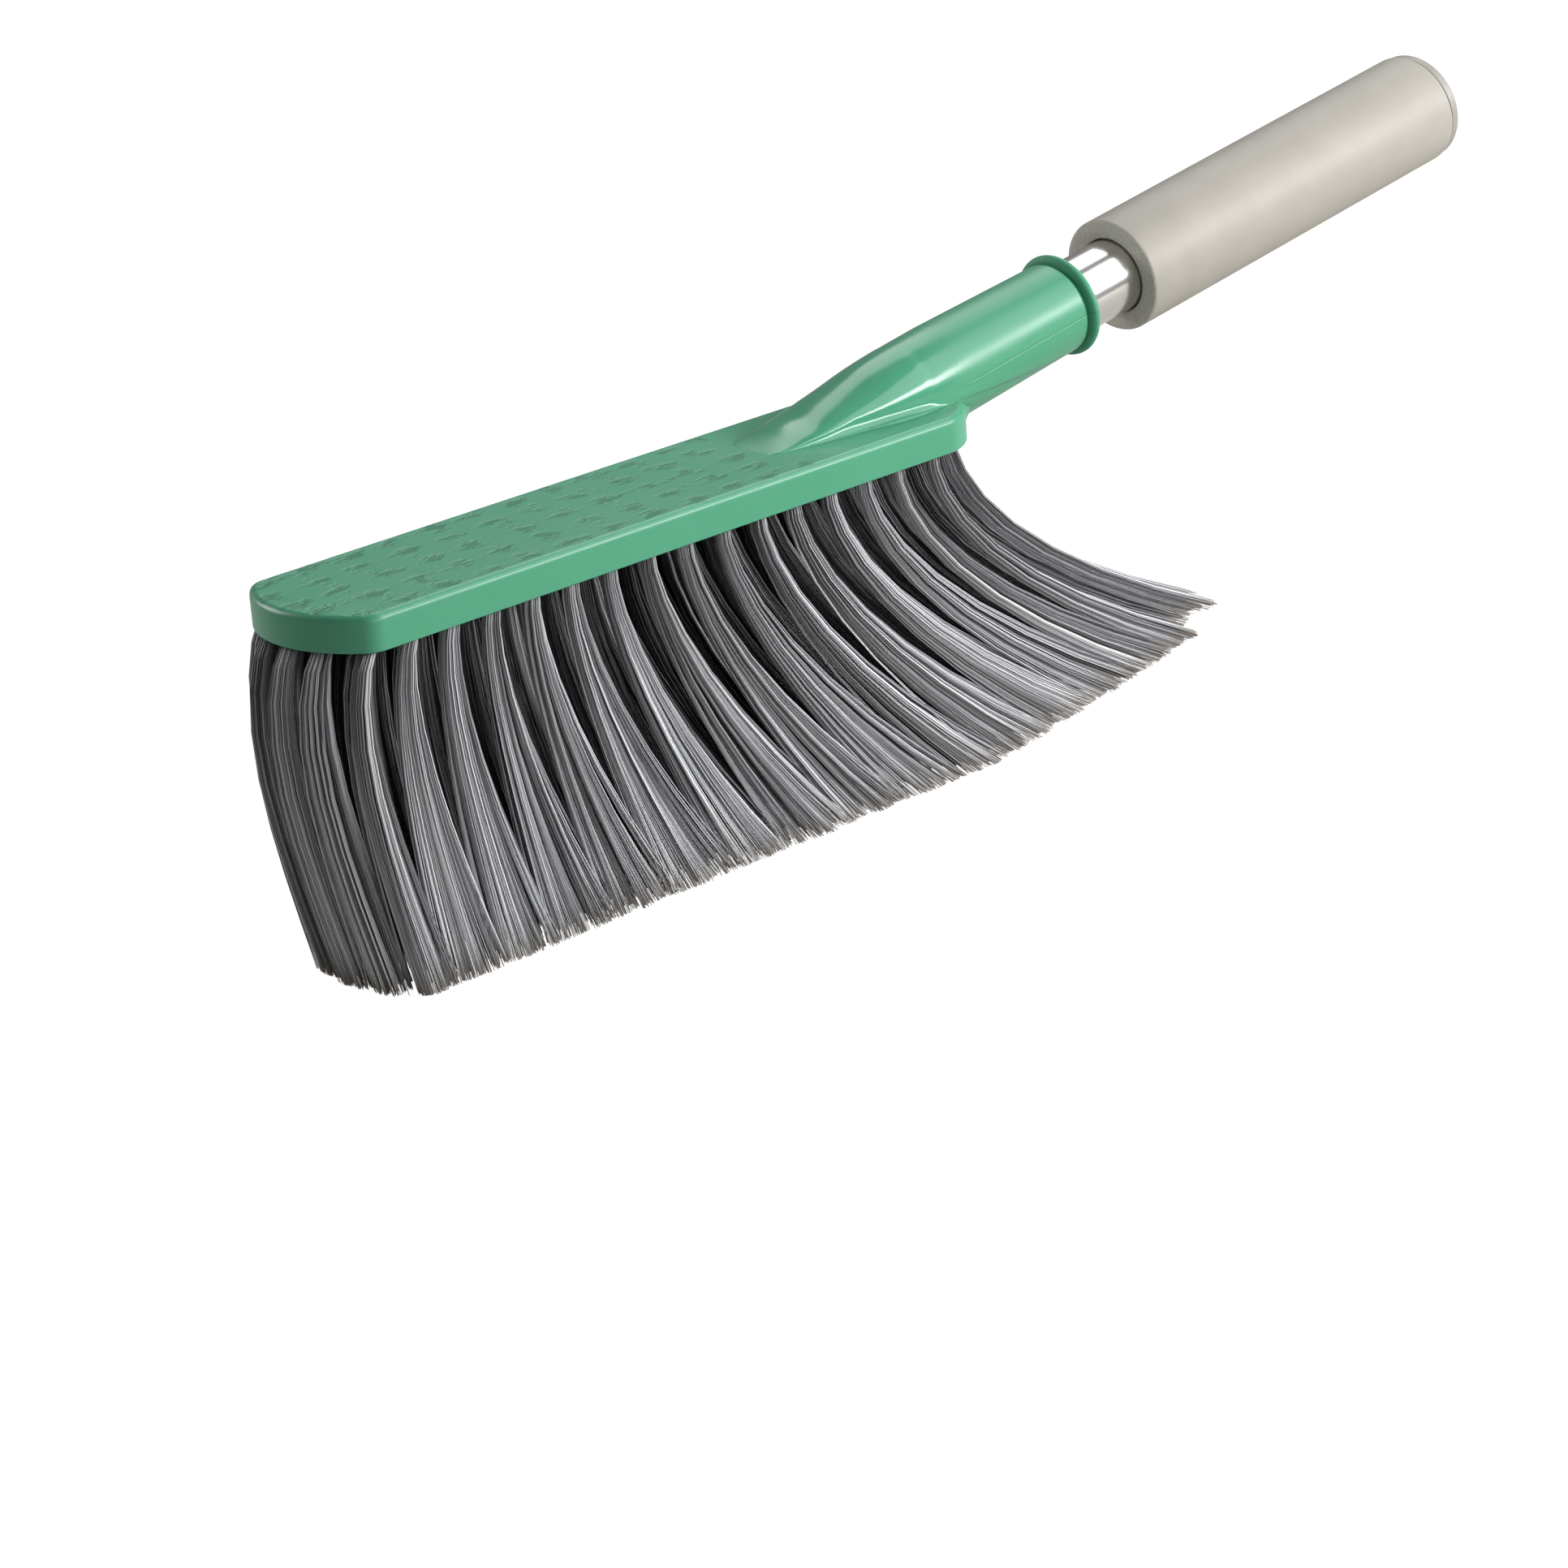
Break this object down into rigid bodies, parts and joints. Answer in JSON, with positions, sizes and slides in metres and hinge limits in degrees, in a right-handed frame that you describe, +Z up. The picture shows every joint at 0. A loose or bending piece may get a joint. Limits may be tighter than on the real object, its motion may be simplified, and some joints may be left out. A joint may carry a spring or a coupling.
{
  "type": "dusting brush",
  "caption": "Long hand brush: a flat moulded block with bristles that sweep back towards the handle, a rising neck and socket, and a steel tube handle with a soft sleeve.",
  "frame": {"origin": "on the ground under the middle of the brush's box, with the brush standing level on its trimmed bristle tips", "axes": "+X along the block towards the handle, +Z up, +Y to the left when looking from the toe towards the handle"},
  "size_m": [0.397, 0.0432, 0.1371],
  "materials": {
    "green_plastic": "gloss",
    "grey_filament": "satin",
    "polished_steel": "polished",
    "warm_grey_foam": "matte",
    "grey_plastic": "satin"
  },
  "bodies": {
    "root": {"brush_head": "green_plastic", "tuft_rank_01": "grey_filament", "tuft_rank_02": "grey_filament", "tuft_rank_03": "grey_filament", "tuft_rank_04": "grey_filament", "tuft_rank_05": "grey_filament", "tuft_rank_06": "grey_filament", "tuft_rank_07": "grey_filament", "tuft_rank_08": "grey_filament", "tuft_rank_09": "grey_filament", "tuft_rank_10": "grey_filament", "tuft_rank_11": "grey_filament", "tuft_rank_12": "grey_filament", "tuft_rank_13": "grey_filament", "tuft_rank_14": "grey_filament", "tuft_rank_15": "grey_filament", "tuft_rank_16": "grey_filament", "handle_tube": "polished_steel", "grip_sleeve": "warm_grey_foam", "end_plug": "grey_plastic"}
  },
  "joints": []
}
